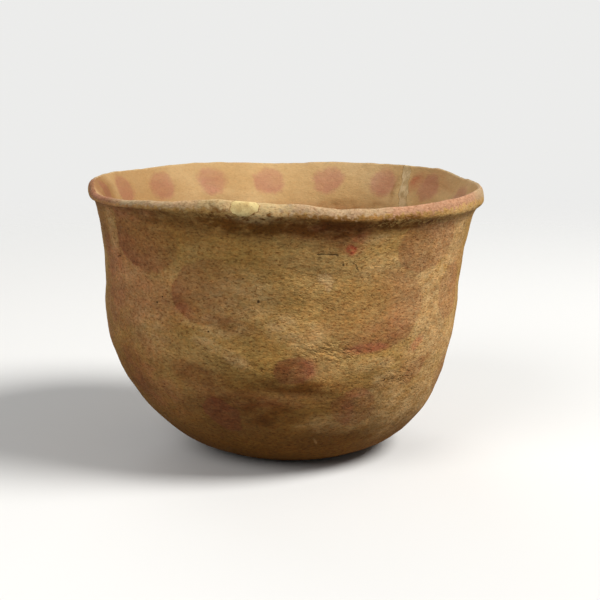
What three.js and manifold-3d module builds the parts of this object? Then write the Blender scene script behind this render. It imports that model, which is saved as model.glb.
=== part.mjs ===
// Painted coil-built pottery bowl with an everted lip.
// Millimetres, +Z up, origin at the centre of the face it rests on.
// The clay is built up as it was by hand: a pinched base, rings of coil pressed
// one inside the other along bevelled seams, and a last coil turned out as the lip.
import * as THREE from 'three';
import { mergeVertices } from 'three/addons/utils/BufferGeometryUtils.js';
import Module from 'manifold-3d';

const wasm = await Module();
wasm.setup();

// Driving dimensions of the bowl
const footDiameter = 40;
const bellyDiameter = 136;
const bellyHeight = 61.5;
const crestHeight = 103.1;
const wallThickness = 5;
const floorThickness = 8;
const floorBlendHeight = 28;

// The upper wall flares out to the neck, and the lip stands out from the neck
const wallFlare = 3.8;
const lipProjection = 3.6;
const neckDrop = 10.5;
// The lip's outer face runs up and in from its widest point to the crest, its
// underside is rounded, and its crest is a tight bend into the inner face
const lipFaceHeight = 3.5;
const lipSetback = 1.9;
const lipUnderRound = 1.6;
const crestRound = 1;
// Where the rounded underside starts and the bend of the crest ends, as angles
// in the section from the outward direction
const lipStartAngle = -55;
const lipEndAngle = 150;
// How far each smooth run into the lip keeps its end directions, as a share of its length
const bridgeReach = 1 / 3;

// The hand-built shape is not quite true: its axis bows to the left at mid height
const bowOffset = 4;
const bowHeight = 46.5;
const lipOffset = 1.8;

// Rise of the lip's crest above its mean height, at azimuths in degrees
// anticlockwise from +X, which is the right-hand side seen from the front
const crestRises = [
  [0, -1],
  [16, -0.8],
  [32, 1.5],
  [50, 1.3],
  [70, 1.3],
  [92, 0.4],
  [118, 1.6],
  [145, 0.9],
  [168, 1.7],
  [184, 1.3],
  [200, -1.7],
  [216, -1.6],
  [234, -0.3],
  [252, 1.4],
  [270, 0.3],
  [288, -1.8],
  [306, -2],
  [322, -1.4],
  [340, -0.7],
];

// Height of the lip as a share of its mean height, at azimuths in degrees: it is
// thin on the left and full on the right
const lipStretches = [
  [0, 1.35],
  [60, 1],
  [140, 0.9],
  [185, 0.6],
  [222, 0.6],
  [255, 1],
  [300, 1.1],
  [338, 1.35],
];

// Clay elements and the seams between them
const baseHeight = 14;
const rimCoilHeight = 12;
const wallCoilCount = 6;
const seamDrop = 5;
const seamCrown = 0.8;

// Mended crack through the lip at the right rear: its fill leans and widens downwards
const crackAzimuth = 46;
const crackLean = 14;
const crackTopWidth = 3.6;
const crackFootWidth = 5;
const crackDepth = 21;

// Filled chip on the outer face of the lip at the front
const chipAzimuth = 259.8;
const chipLength = 10;
const chipHeight = 5.8;
const chipBite = 2.6;

// Gap left round each fill, and how far the crack's outline passes the wall
const fillClearance = 0.3;
const cutOverrun = 6;

// Fineness of the faceted surface
const segments = 64;
const rowsPerCoil = 2;
const rowsInBase = 6;
const rowsToLip = 3;
const rowsUnderLip = 2;
const rowsOnLipFace = 4;
const rowsOverCrest = 2;
const rowsInTurn = 4;
const facetsInCrackFoot = 6;
const facetsRoundChip = 20;
const rowsInChip = 12;

// Colours of the fired clay and of the two fills
const clayFinish = { roughness: 0.92, metalness: 0 };
const clayColours = {
  base: 0x8f6a45,
  wall: 0xa17b4e,
  lip: 0xb8926c,
  crackFill: 0xb5a377,
  chipFill: 0xcbb884,
};

const footRadius = footDiameter / 2;
const bellyRadius = bellyDiameter / 2;
const neckHeight = crestHeight - neckDrop;
const lipRadius = bellyRadius + wallFlare + lipProjection;
const crestRadius = lipRadius - lipSetback;
const lipHeight = lipFaceHeight + lipUnderRound;
const rimSeamHeight = crestHeight - rimCoilHeight;

// Smooth step from 0 to 1
function ease(t) {
  const u = Math.min(Math.max(t, 0), 1);
  return u * u * (3 - 2 * u);
}

// Outside of the wall at a height: an elliptical quarter from the foot to the
// belly, then a gentle outward flare. The outward normal comes with the point.
function outside(height) {
  if (height < bellyHeight) {
    const bulge = bellyRadius - footRadius;
    const angle = Math.acos(1 - height / bellyHeight);
    const normal = new THREE.Vector2(bellyHeight * Math.sin(angle), -bulge * Math.cos(angle));
    const point = new THREE.Vector2(footRadius + bulge * Math.sin(angle), height);
    return { point, normal: normal.normalize() };
  }
  const span = neckHeight - bellyHeight;
  const climb = (height - bellyHeight) / span;
  const normal = new THREE.Vector2(1, (-2 * wallFlare * climb) / span);
  const point = new THREE.Vector2(bellyRadius + wallFlare * climb * climb, height);
  return { point, normal: normal.normalize() };
}

// The inside lies one thickness in from the outside, and the floor is thicker
function inside(height) {
  const { point, normal } = outside(height);
  const thickening = (floorThickness - wallThickness) * (1 - ease(height / floorBlendHeight));
  return point.clone().addScaledVector(normal, -(wallThickness + thickening));
}

// Seam between two elements, from the outer face in and down to the inner face,
// crowned in the middle where the upper coil was pressed over the lower one
function seam(height) {
  const outer = outside(height).point;
  const inner = inside(height - seamDrop);
  const across = inner.clone().sub(outer);
  const crown = new THREE.Vector2(across.y, -across.x).normalize().multiplyScalar(seamCrown);
  const middle = outer.clone().add(inner).multiplyScalar(0.5).add(crown);
  return [outer, middle, inner];
}

function outerRun(from, to, rows) {
  const run = [];
  for (let i = 0; i <= rows; i += 1) {
    run.push(outside(from + ((to - from) * i) / rows).point);
  }
  return run;
}

function innerRun(from, to, rows) {
  const run = [];
  for (let i = 0; i <= rows; i += 1) {
    run.push(inside(from + ((to - from) * i) / rows));
  }
  return run;
}

// Part of an ellipse in the section, at angles from the outward direction
function ellipsePoint(centre, halfWidth, halfHeight, degrees) {
  const angle = THREE.MathUtils.degToRad(degrees);
  return new THREE.Vector2(
    centre.x + halfWidth * Math.cos(angle),
    centre.y + halfHeight * Math.sin(angle),
  );
}

function ellipseArc(centre, halfWidth, halfHeight, fromDegrees, toDegrees, rows) {
  const arc = [];
  for (let i = 0; i <= rows; i += 1) {
    const degrees = fromDegrees + ((toDegrees - fromDegrees) * i) / rows;
    arc.push(ellipsePoint(centre, halfWidth, halfHeight, degrees));
  }
  return arc;
}

// Outline of the lip: its rounded underside, its outer face, and over the crest
function lipOutline() {
  const widest = new THREE.Vector2(crestRadius, crestHeight - lipFaceHeight);
  const bend = new THREE.Vector2(crestRadius, crestHeight - crestRound);
  return [
    ...ellipseArc(widest, lipSetback, lipUnderRound, lipStartAngle, 0, rowsUnderLip),
    ...ellipseArc(widest, lipSetback, lipFaceHeight, 0, 90, rowsOnLipFace).slice(1),
    ...ellipseArc(bend, crestRound, crestRound, 90, lipEndAngle, rowsOverCrest).slice(1),
  ];
}

// Direction in which an ellipse's outline runs at an angle
function ellipseDirection(halfWidth, halfHeight, degrees) {
  const angle = THREE.MathUtils.degToRad(degrees);
  const direction = new THREE.Vector2(
    -halfWidth * Math.sin(angle),
    halfHeight * Math.cos(angle),
  );
  return direction.normalize();
}

// Smooth run between two points, without its ends, that leaves the first and
// reaches the second in the given directions
function bridge(from, leaving, to, arriving, rows) {
  const reach = from.distanceTo(to) * bridgeReach;
  const curve = new THREE.CubicBezierCurve(
    from,
    from.clone().addScaledVector(leaving, reach),
    to.clone().addScaledVector(arriving, -reach),
    to,
  );
  return curve.getPoints(rows).slice(1, -1);
}

// The outer face turns out from the neck to the rounded underside of the lip
function lipUnderside(outline) {
  const neck = outside(neckHeight);
  const rising = new THREE.Vector2(-neck.normal.y, neck.normal.x);
  const arriving = ellipseDirection(lipSetback, lipUnderRound, lipStartAngle);
  return [neck.point, ...bridge(neck.point, rising, outline[0], arriving, rowsToLip)];
}

// The inner face turns smoothly out from the wall to the crest
function lipTurn(outline) {
  const edge = outline[outline.length - 1];
  const leaving = ellipseDirection(crestRound, crestRound, lipEndAngle);
  const wallHeight = rimSeamHeight - seamDrop;
  const wallPoint = inside(wallHeight);
  const falling = wallPoint.clone().sub(inside(wallHeight + 1)).normalize();
  return bridge(edge, leaving, wallPoint, falling, rowsInTurn);
}

// Value at an azimuth of a list of points round the bowl, eased between them
function easedAround(points, azimuth) {
  const last = points.length - 1;
  let index = last;
  for (let i = 0; i < last; i += 1) {
    if (azimuth >= points[i][0] && azimuth < points[i + 1][0]) {
      index = i;
    }
  }
  const [fromAzimuth, fromValue] = points[index];
  const [toAzimuth, toValue] = points[(index + 1) % points.length];
  const span = (toAzimuth - fromAzimuth + 360) % 360;
  const share = ease(((azimuth - fromAzimuth + 360) % 360) / span);
  return fromValue + (toValue - fromValue) * share;
}

// Sideways place of the bowl's axis at a height
function axisOffset(height) {
  if (height < bowHeight) {
    return -bowOffset * ease(height / bowHeight);
  }
  const back = ease((height - bowHeight) / (crestHeight - bowHeight));
  return -bowOffset + (bowOffset - lipOffset) * back;
}

// Depth below the crest that stretches with the lip: all of it down to the lip's
// lower edge, and then less and less of it down to the neck
function stretchingDepth(height) {
  const depth = crestHeight - height;
  if (depth < lipHeight) {
    return depth;
  }
  return Math.max((lipHeight * (neckDrop - depth)) / (neckDrop - lipHeight), 0);
}

// Place of a section point at an azimuth on the real, slightly uneven bowl
function place(sectionPoint, azimuth) {
  const radius = sectionPoint.x;
  const height = sectionPoint.y;
  const angle = THREE.MathUtils.degToRad(azimuth);
  const climb = Math.max(height - bellyHeight, 0) / (crestHeight - bellyHeight);
  const rise = easedAround(crestRises, azimuth) * climb * climb;
  const drop = (easedAround(lipStretches, azimuth) - 1) * stretchingDepth(height);
  return new THREE.Vector3(
    axisOffset(height) + radius * Math.cos(angle),
    radius * Math.sin(angle),
    height + rise - drop,
  );
}

// Sweeps a section round the bowl. A closed section loops back on itself, and an
// open one starts and ends on the axis. Each four-sided facet is split from its
// wider ring to its narrower one, so that two elements share a seam exactly.
function sweep(section, closed) {
  const positions = [];
  const rings = section.map((point) => {
    const onAxis = point.x === 0;
    const count = onAxis ? 1 : segments;
    const first = positions.length / 3;
    for (let j = 0; j < count; j += 1) {
      positions.push(...place(point, (360 * j) / segments).toArray());
    }
    return { first, onAxis, radius: point.x };
  });
  const at = (ring, j) => (ring.onAxis ? ring.first : ring.first + (j % segments));
  const faces = [];
  const addFace = (a, b, c) => {
    if (a !== b && b !== c && c !== a) {
      faces.push(a, b, c);
    }
  };
  const bands = closed ? section.length : section.length - 1;
  for (let i = 0; i < bands; i += 1) {
    const low = rings[i];
    const high = rings[(i + 1) % section.length];
    for (let j = 0; j < segments; j += 1) {
      const corners = [at(low, j), at(low, j + 1), at(high, j + 1), at(high, j)];
      const start = low.radius > high.radius ? 0 : 1;
      const turned = (k) => corners[(start + k) % 4];
      addFace(turned(0), turned(1), turned(2));
      addFace(turned(0), turned(2), turned(3));
    }
  }
  const geometry = new THREE.BufferGeometry();
  geometry.setAttribute('position', new THREE.Float32BufferAttribute(positions, 3));
  geometry.setIndex(faces);
  return geometry;
}

function toSolid(geometry) {
  const bare = geometry.clone();
  bare.deleteAttribute('normal');
  bare.deleteAttribute('uv');
  const merged = mergeVertices(bare);
  return new wasm.Manifold(new wasm.Mesh({
    numProp: 3,
    vertProperties: new Float32Array(merged.attributes.position.array),
    triVerts: new Uint32Array(merged.index.array),
  }));
}

function toGeometry(solid) {
  const mesh = solid.getMesh();
  const geometry = new THREE.BufferGeometry();
  geometry.setAttribute('position', new THREE.BufferAttribute(mesh.vertProperties, 3));
  geometry.setIndex(new THREE.BufferAttribute(mesh.triVerts, 1));
  return geometry;
}

// Elements of the clay

function pinchedBase() {
  const top = seam(baseHeight);
  return sweep([
    new THREE.Vector2(0, 0),
    ...outerRun(0, baseHeight, rowsInBase).slice(0, -1),
    ...top,
    ...innerRun(baseHeight - seamDrop, 0, rowsInBase).slice(1),
    new THREE.Vector2(0, floorThickness),
  ], false);
}

function wallCoil(from, to) {
  return sweep([
    ...outerRun(from, to, rowsPerCoil).slice(1, -1),
    ...seam(to),
    ...innerRun(to - seamDrop, from - seamDrop, rowsPerCoil).slice(1, -1),
    ...seam(from).reverse(),
  ], true);
}

function rimCoil() {
  const outline = lipOutline();
  return sweep([
    ...lipUnderside(outline),
    ...outline,
    ...lipTurn(outline),
    ...seam(rimSeamHeight).reverse(),
  ], true);
}

// Wedge that the crack takes out of the wall, grown all round by a margin. It is
// drawn in the wall's face, leant over about the crest, and runs out through the
// wall along the radius.
function crackWedge(margin) {
  const halfTop = crackTopWidth / 2 + margin;
  const halfFoot = crackFootWidth / 2 + margin;
  const foot = crestHeight - crackDepth - margin;
  const top = crestHeight + cutOverrun;
  const outline = new THREE.Shape();
  outline.moveTo(-halfTop, top);
  outline.lineTo(-halfFoot, foot + halfFoot);
  outline.absarc(0, foot + halfFoot, halfFoot, Math.PI, Math.PI * 2, false);
  outline.lineTo(halfTop, top);
  const inner = bellyRadius - wallThickness - cutOverrun;
  const wedge = new THREE.ExtrudeGeometry(outline, {
    depth: lipRadius + cutOverrun - inner,
    bevelEnabled: false,
    curveSegments: facetsInCrackFoot,
  });
  wedge.translate(0, -crestHeight, inner);
  wedge.rotateZ(-THREE.MathUtils.degToRad(crackLean));
  wedge.translate(0, crestHeight, 0);
  wedge.applyMatrix4(new THREE.Matrix4().makeBasis(
    new THREE.Vector3(0, 1, 0),
    new THREE.Vector3(0, 0, 1),
    new THREE.Vector3(1, 0, 0),
  ));
  wedge.rotateZ(THREE.MathUtils.degToRad(crackAzimuth));
  wedge.translate(-lipOffset, 0, 0);
  return toSolid(wedge);
}

// Rounded hollow that the chip leaves in the lip, grown all round by a margin
function chipHollow(margin) {
  const hollow = new THREE.SphereGeometry(1, facetsRoundChip, rowsInChip);
  hollow.scale(
    chipBite + margin,
    chipLength / 2 + margin,
    chipHeight / 2 + margin,
  );
  hollow.rotateZ(THREE.MathUtils.degToRad(chipAzimuth));
  const middle = new THREE.Vector2(crestRadius + lipSetback / 2, crestHeight - lipFaceHeight / 2);
  hollow.translate(...place(middle, chipAzimuth).toArray());
  return toSolid(hollow);
}

const bowl = new THREE.Group();

function addPiece(name, geometry, colour) {
  const material = new THREE.MeshStandardMaterial({ color: colour, ...clayFinish });
  const mesh = new THREE.Mesh(geometry, material);
  mesh.name = name;
  bowl.add(mesh);
}

addPiece('pinched_base', pinchedBase(), clayColours.base);

// Wall coils, cut where the mended crack runs down through them
const crackCut = crackWedge(fillClearance);
const crackFillShape = crackWedge(0);
const coilHeight = (rimSeamHeight - baseHeight) / wallCoilCount;
const crackPieces = [];
for (let i = 0; i < wallCoilCount; i += 1) {
  const coil = toSolid(wallCoil(baseHeight + coilHeight * i, baseHeight + coilHeight * (i + 1)));
  const share = coil.intersect(crackFillShape);
  crackPieces.push(share);
  const kept = share.isEmpty() ? coil : coil.subtract(crackCut);
  addPiece(`wall_coil_${i + 1}`, toGeometry(kept), clayColours.wall);
}

// The rim coil carries both mends
const wholeRim = toSolid(rimCoil());
crackPieces.push(wholeRim.intersect(crackFillShape));
const cutRim = wholeRim.subtract(crackCut).subtract(chipHollow(fillClearance));
addPiece('rim_coil', toGeometry(cutRim), clayColours.lip);

const crackFill = crackPieces.reduce((joined, piece) => joined.add(piece));
addPiece('crack_fill', toGeometry(crackFill), clayColours.crackFill);

const chipFill = wholeRim.intersect(chipHollow(0));
addPiece('lip_chip_fill', toGeometry(chipFill), clayColours.chipFill);

export default bowl;
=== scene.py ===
# Painted coil-built pottery bowl on a pale floor.
# Lengths are millimetres in the shape functions, and metres once they reach Blender.
# Places on the bowl are an azimuth in degrees, anticlockwise from +X, and a height.
import math

import bpy
import numpy as np
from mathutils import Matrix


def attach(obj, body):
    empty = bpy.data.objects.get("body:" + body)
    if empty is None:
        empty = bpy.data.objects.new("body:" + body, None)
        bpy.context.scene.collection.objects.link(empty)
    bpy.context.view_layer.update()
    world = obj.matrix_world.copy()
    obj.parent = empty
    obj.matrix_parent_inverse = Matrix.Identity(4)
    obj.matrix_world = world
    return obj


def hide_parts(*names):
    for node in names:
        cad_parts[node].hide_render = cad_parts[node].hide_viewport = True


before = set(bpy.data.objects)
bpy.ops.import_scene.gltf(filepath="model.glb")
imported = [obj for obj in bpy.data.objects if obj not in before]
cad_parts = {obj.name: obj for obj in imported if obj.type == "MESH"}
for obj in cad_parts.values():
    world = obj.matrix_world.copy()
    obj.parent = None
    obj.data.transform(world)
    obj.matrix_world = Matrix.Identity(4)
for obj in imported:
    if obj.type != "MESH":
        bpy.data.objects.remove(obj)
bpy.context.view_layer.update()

MM = 0.001

# Sizes of the bowl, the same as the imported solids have
FOOT_RADIUS = 20.0
BELLY_RADIUS = 68.0
BELLY_HEIGHT = 61.5
CREST_HEIGHT = 103.1
WALL = 5.0
FLOOR = 8.0
FLOOR_BLEND = 28.0
WALL_FLARE = 3.8
LIP_PROJECTION = 3.6
NECK_DROP = 10.5
LIP_FACE_HEIGHT = 3.5
LIP_SETBACK = 1.9
LIP_UNDER_ROUND = 1.6
CREST_ROUND = 1.0
LIP_START = -55.0
LIP_END = 150.0
BRIDGE_REACH = 1.0 / 3.0
NECK_HEIGHT = CREST_HEIGHT - NECK_DROP
LIP_RADIUS = BELLY_RADIUS + WALL_FLARE + LIP_PROJECTION
CREST_RADIUS = LIP_RADIUS - LIP_SETBACK
LIP_HEIGHT = LIP_FACE_HEIGHT + LIP_UNDER_ROUND
BOW_OFFSET = 4.0
BOW_HEIGHT = 46.5
LIP_OFFSET = 1.8

# Rise of the crest and share of the lip's mean height, at azimuths round the bowl
CREST_RISES = [
    (0, -1.0), (16, -0.8), (32, 1.5), (50, 1.3), (70, 1.3), (92, 0.4), (118, 1.6),
    (145, 0.9), (168, 1.7), (184, 1.3), (200, -1.7), (216, -1.6), (234, -0.3),
    (252, 1.4), (270, 0.3), (288, -1.8), (306, -2.0), (322, -1.4), (340, -0.7),
]
LIP_STRETCHES = [
    (0, 1.35), (60, 1.0), (140, 0.9), (185, 0.6), (222, 0.6), (255, 1.0), (300, 1.1), (338, 1.35),
]
BASE_HEIGHT = 14.0
RIM_SEAM = CREST_HEIGHT - 12.0
WALL_COILS = 6
COIL_HEIGHT = (RIM_SEAM - BASE_HEIGHT) / WALL_COILS
SEAM_DROP = 5.0
SEAM_CROWN = 0.8

# Mended crack through the lip, whose edges wander in waves of (share, pace, phase)
CRACK_AZIMUTH = 46.0
CRACK_LEAN = 14.0
CRACK_TOP_WIDTH = 3.6
CRACK_FOOT_WIDTH = 5.0
CRACK_DEPTH = 21.0
CRACK_FOOT_FLAT = 0.4
CRACK_STEPS = 40
CRACK_WANDER = 0.35
LEFT_WAVES = [(1.0, 0.83, 0.0), (0.6, 2.1, 1.0)]
RIGHT_WAVES = [(1.0, 0.71, 2.0), (0.5, 1.7, 0.0)]

# Filled chip on the front of the lip
CHIP_AZIMUTH = 259.8
CHIP_HALF = (2.6, 5.0, 2.9)
CHIP_UNEVENNESS = 0.14
CHIP_LUMPS = 2.1
FILL_GAP = 0.01
CUT_OVERRUN = 6.0

# Fineness of the modelled surface: facets round the bowl, row height up the wall, and rows
AROUND = 840
ROW = 0.6
BASE_ROWS_OUTSIDE = 52
BASE_ROWS_INSIDE = 42
BASE_ROWS_ON_FLOOR = 16
ROWS_TO_LIP = 11
ROWS_UNDER_LIP = 7
ROWS_ON_LIP = 13
ROWS_OVER_LIP = 6
ROWS_IN_TURN = 28
# Share of the lip's own finish under it, up its face and over its crest, and where it ends
UNDER_LIP_SHARES = (0.0, 0.4)
LIP_FACE_SHARES = (0.45, 1.8)
OVER_LIP_SHARES = (0.8, 0.3)
TURN_FADE_ROWS = 4.0
# How closely a face corner must face as its surface does to be shaded with it
SAME_FACING = 0.75

# Painted dots: azimuth, height, half width, half height, tilt, strength, then the side
# where the paint is best kept, in degrees, and how much of it has gone opposite
OUTER_DOTS = [
    (225.2, 88.6, 17, 11.5, -8, 1, 228, 0.8), (199, 89, 8, 10.5, 0, 0.55, 0, 0.2),
    (287.5, 97.5, 12.5, 6.5, 0, 0.42, 60, 0.5), (316.6, 88, 15.8, 11.2, 0, 0.66, 215, 0.3),
    (335.4, 66.2, 11, 10.6, 0, 0.6, 180, 0.3), (299.5, 64.5, 21, 15, -3, 0.66, 318, 0.8),
    (249.4, 71.5, 15.6, 11.8, 0, 0.95, 190, 0.95), (211, 61, 11.5, 8.6, 0, 0.25, 270, 0.4),
    (225.5, 45.5, 8.4, 5, 10, 0.28, 90, 0.4), (248.4, 26.2, 7.6, 6.6, -40, 1, 200, 0.15),
    (274.2, 44.6, 7, 5.2, 0, 0.95, 0, 0.1), (294.6, 28.6, 8.8, 7.8, 0, 0.72, 100, 0.4),
    (318.7, 39.4, 6.2, 3.4, 35, 0.6, 0, 0.2), (203, 33, 8, 8, 0, 0.35, 90, 0.4),
    (341, 33, 7, 7.5, 0, 0.4, 180, 0.4),
    (15, 89, 15, 10.5, 0, 0.62, 90, 0.4), (46, 90, 14.5, 11, 5, 0.72, 200, 0.5),
    (80, 89, 13.5, 10, 0, 0.55, 270, 0.4), (112, 90, 15, 11, -6, 0.78, 320, 0.5),
    (146, 89, 14, 10.5, 0, 0.6, 120, 0.6), (176, 90, 13, 10.5, 4, 0.66, 200, 0.3),
    (6, 64, 17, 13, 0, 0.62, 300, 0.7), (44, 66, 19, 14, 8, 0.6, 200, 0.7),
    (86, 64, 20, 14.5, 0, 0.66, 320, 0.6), (128, 66, 18.5, 13.5, -6, 0.55, 150, 0.8),
    (168, 64, 17.5, 12.5, 0, 0.62, 30, 0.5),
    (22, 35, 8, 8, 0, 0.62, 90, 0.4), (64, 37, 7.6, 7, 0, 0.55, 200, 0.4),
    (110, 34, 8.2, 8.5, 20, 0.7, 300, 0.4), (155, 36, 8, 7, 0, 0.55, 0, 0.4),
]
INNER_DOT_FIRST = 160.5
INNER_DOT_STEP = -21.3
INNER_DOT_COUNT = 17
INNER_DOT_SHAPE = (96.0, 6.8, 5.4, 0, 0.85, 270, 0.2)

# Soft-edged spots of colour and texture: azimuth, height, half width, half height, tilt and
# strength, where a strength over 1 fills a spot that noise would otherwise break up
# Some of these spots are painted light and shade, as said at each list
OUTER_ZONES = {
    # Pale spots of the slip, among them painted light: highlights along the worn facet's lit upper
    # edge, and painted light on the right side down to its lower edge
    "pale_zone": [
        (209, 90, 4, 12, 0, 0.6), (218, 76, 5, 4, 0, 0.4), (226, 56.5, 11, 8, 0, 0.5),
        (271, 60, 6.5, 5, 0, 0.7), (278, 57, 8, 5, 0, 0.5), (248, 53.8, 7, 2.6, -24, 0.7),
        (257, 48.6, 6, 2.6, -30, 0.7), (282.6, 77.2, 3, 1.8, -16, 3), (283.6, 75, 1.2, 2.2, 0, 3),
        (322.6, 64, 3.8, 8, -6, 0.9), (301, 80, 12, 6, 8, 0.5), (313, 27.5, 14, 9, 20, 0.75),
        (290, 22.5, 16, 5, 0, 0.6), (341, 45, 8, 14, 0, 0.7), (334, 88, 10, 12, 0, 0.95),
        (326, 38, 9, 8, 0, 0.75), (302, 44.5, 10, 3.2, 0, 0.6), (252, 60.5, 13, 4.4, -6, 0.7),
        (299, 32, 6, 5, 0, 0.5), (257, 70, 15, 11, 0, 0.5), (324, 68, 20, 36, 0, 0.85),
        (296, 91.5, 7, 2.4, 0, 0.5), (326, 95, 14, 3, 0, 0.9), (306, 38.5, 7, 4, 0, 0.7),
        (325, 25, 22, 12, 20, 0.8), (281, 14.8, 0.3, 1.8, 27, 1.4),
    ],
    "rosy_zone": [
        (207, 70, 12, 22, 0, 0.6), (289, 90.5, 6, 4.5, -20, 0.6), (239.5, 64, 5, 3.6, 20, 0.5),
        (297.5, 51.3, 9.5, 2.2, 2, 1), (306, 56, 6, 5, 30, 0.45), (214, 44, 9, 9, 0, 0.5),
        (278.6, 44.6, 3.4, 4.4, 0, 0.9), (295.4, 34.2, 4.6, 1.8, 0, 0.7), (322, 92, 12, 6, 0, 0.2),
        (338, 68, 7, 11, 0, 0.3), (283, 94.5, 16, 4, 0, 0.6), (222, 66, 20, 30, 0, 0.35),
        (222, 34, 16, 12, -20, 0.5), (262, 33, 26, 4, 0, 0.4), (303, 56, 12, 6, 20, 0.4),
        (292, 27, 3, 6, 0, 0.6), (218, 98, 22, 4, 0, 0.6), (243, 40, 12, 6, -20, 0.35),
    ],
    "red_zone": [
        (289, 87.8, 2, 2.3, 0, 1.2), (290.4, 90.8, 4, 2.2, 40, 0.5), (317, 50.2, 4.8, 2.3, 38, 0.5),
        (297.5, 51, 8, 1.6, 0, 0.3),
    ],
    # Brown stains, and painted shade just under the lip
    "brown_zone": [
        (276, 38.4, 20, 3.4, -2, 0.75), (256.5, 60.4, 9.5, 2.8, -12, 0.6),
        (271.2, 44.6, 3.6, 3.8, 0, 0.6), (284, 89, 7, 3, 0, 0.5), (242, 92, 10, 4, 0, 0.4),
        (224, 52, 5, 4, 0, 0.3), (308.5, 37.8, 3.6, 1.4, 0, 0.5), (301, 36, 3, 1.4, 20, 0.5),
        (325, 44, 5, 1.8, 35, 0.5), (252, 40, 20, 4, -14, 0.45), (210.5, 80.5, 4, 1.4, 0, 0.5),
        (284, 20, 8, 2, 0, 0.35), (257, 29, 20, 7, -4, 0.75), (311, 55, 3, 5, 30, 0.3),
        (236, 92.5, 16, 4, 0, 0.3),
    ],
    # Dark film just under the lip: soot and dirt, and painted shade under the lip's overhang
    "grime_and_shade_zone": [
        (240, 97, 26, 3.6, 0, 0.6), (262, 96.4, 26, 5, 0, 1), (282, 96, 18, 5.2, 0, 1),
        (304, 97.5, 16, 3.4, 0, 1), (25, 97, 26, 3.5, 0, 0.5), (85, 97, 34, 4, 0, 0.7),
        (140, 97.5, 24, 3.5, 0, 0.5), (180, 97, 18, 3, 0, 0.4),
    ],
    # Rough, wrinkled patches of the slip
    "wrinkled_zone": [
        (285, 50.5, 14, 4, -4, 1), (252, 47.5, 14, 4, -26, 0.9), (262, 44, 10, 4, -22, 0.7),
        (312, 38, 9, 3.5, -10, 0.7), (272, 70, 24, 14, 0, 0.3), (60, 50, 18, 6, 10, 0.8),
        (120, 48, 20, 7, -8, 0.8), (15, 47, 14, 5, 0, 0.6), (170, 52, 14, 6, 0, 0.7),
    ],
    # Crumbling lower edge of the lip
    "crumbling_zone": [
        (302, 97.6, 12, 1.6, 0, 1), (320, 97.4, 18, 2, 0, 1), (252, 98.4, 18, 1.3, 0, 0.8),
        (228, 99, 14, 1.2, 0, 0.6), (270, 97.8, 12, 1.2, 0, 0.5), (20, 98, 24, 1.4, 0, 0.6),
        (95, 98, 30, 1.4, 0, 0.7), (160, 98, 24, 1.4, 0, 0.6),
    ],
    # Even shade, which no noise breaks up
    "shade_zone": [
        (212, 38, 12, 12, 0, 0.5), (250, 26, 24, 12, 0, 0.4), (262, 13, 40, 7, 0, 0.15),
        (200, 60, 8, 40, 0, 0.3), (286, 15, 14, 4, 0, 0.3), (240, 92, 30, 4, 0, 0.12),
        (243, 41, 12, 6, -20, 0.5),
    ],
}
# On the inner face: painted shade in even and brown tones, rose tints that are partly painted shade,
# and a red smear beside the mended crack
INNER_ZONES = {
    "shade_zone": [
        (150, 94, 34, 16, 0, 0.5), (182, 97, 20, 12, 0, 0.9), (127, 89, 26, 4, 0, 0.4),
        (140, 97, 45, 12, 0, 0.3),
    ],
    "brown_zone": [(48.4, 94, 1.6, 6, 8, 0.5), (60, 86, 24, 3, 0, 0.5)],
    "rosy_zone": [
        (30, 98.5, 15, 4.6, 0, 0.3), (95, 84, 50, 3, 0, 0.5), (53, 95, 4, 6, 8, 0.3),
        (40, 97, 5, 4, -40, 0.8), (188, 99, 14, 8, 0, 0.35),
    ],
    "red_zone": [(41, 98, 2.4, 2, -40, 0.3)],
}
# Peach, pale and dull stretches of the lip, the dull one at the lip's left end painted shade, and
# filler smeared past the two mends
SHARED_ZONES = {
    "peach_zone": [(318, 101, 30, 9, 0, 1), (204, 101, 14, 9, 0, 1), (285, 101, 10, 9, 0, 0.2)],
    "lip_pale_zone": [(252, 101, 16, 9, 0, 0.8), (120, 101, 60, 9, 0, 0.6)],
    "dull_zone": [(200, 101, 26, 9, 0, 0.8), (190, 101, 14, 9, 0, 1), (318, 101, 26, 9, 0, 0.25)],
    "smear_zone": [
        (262, 101, 10, 4.4, 0, 0.9), (268, 101.5, 7, 3, 0, 0.6), (42, 88, 5, 4, 0, 0.7),
        (46, 97, 3.4, 8, 8, 0.5),
    ],
}
# Seeds and strengths of the spots on the sides and back, which the photograph doesn't show
HIDDEN_ZONES = {"pale_zone": (21, 0.6), "rosy_zone": (22, 0.5), "brown_zone": (23, 0.5)}
HIDDEN_COUNT = 20
HIDDEN_START = 348.0
HIDDEN_SPAN = 210.0
HIDDEN_STEP_SHARES = (0.1, 0.9)
# Ranges of their half width, half height, tilt, height and strength, in the order drawn
HIDDEN_RANGES = [(5.0, 15.0), (3.0, 9.0), (-25.0, 25.0), (16.0, 92.0), (0.4, 1.0)]

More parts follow.
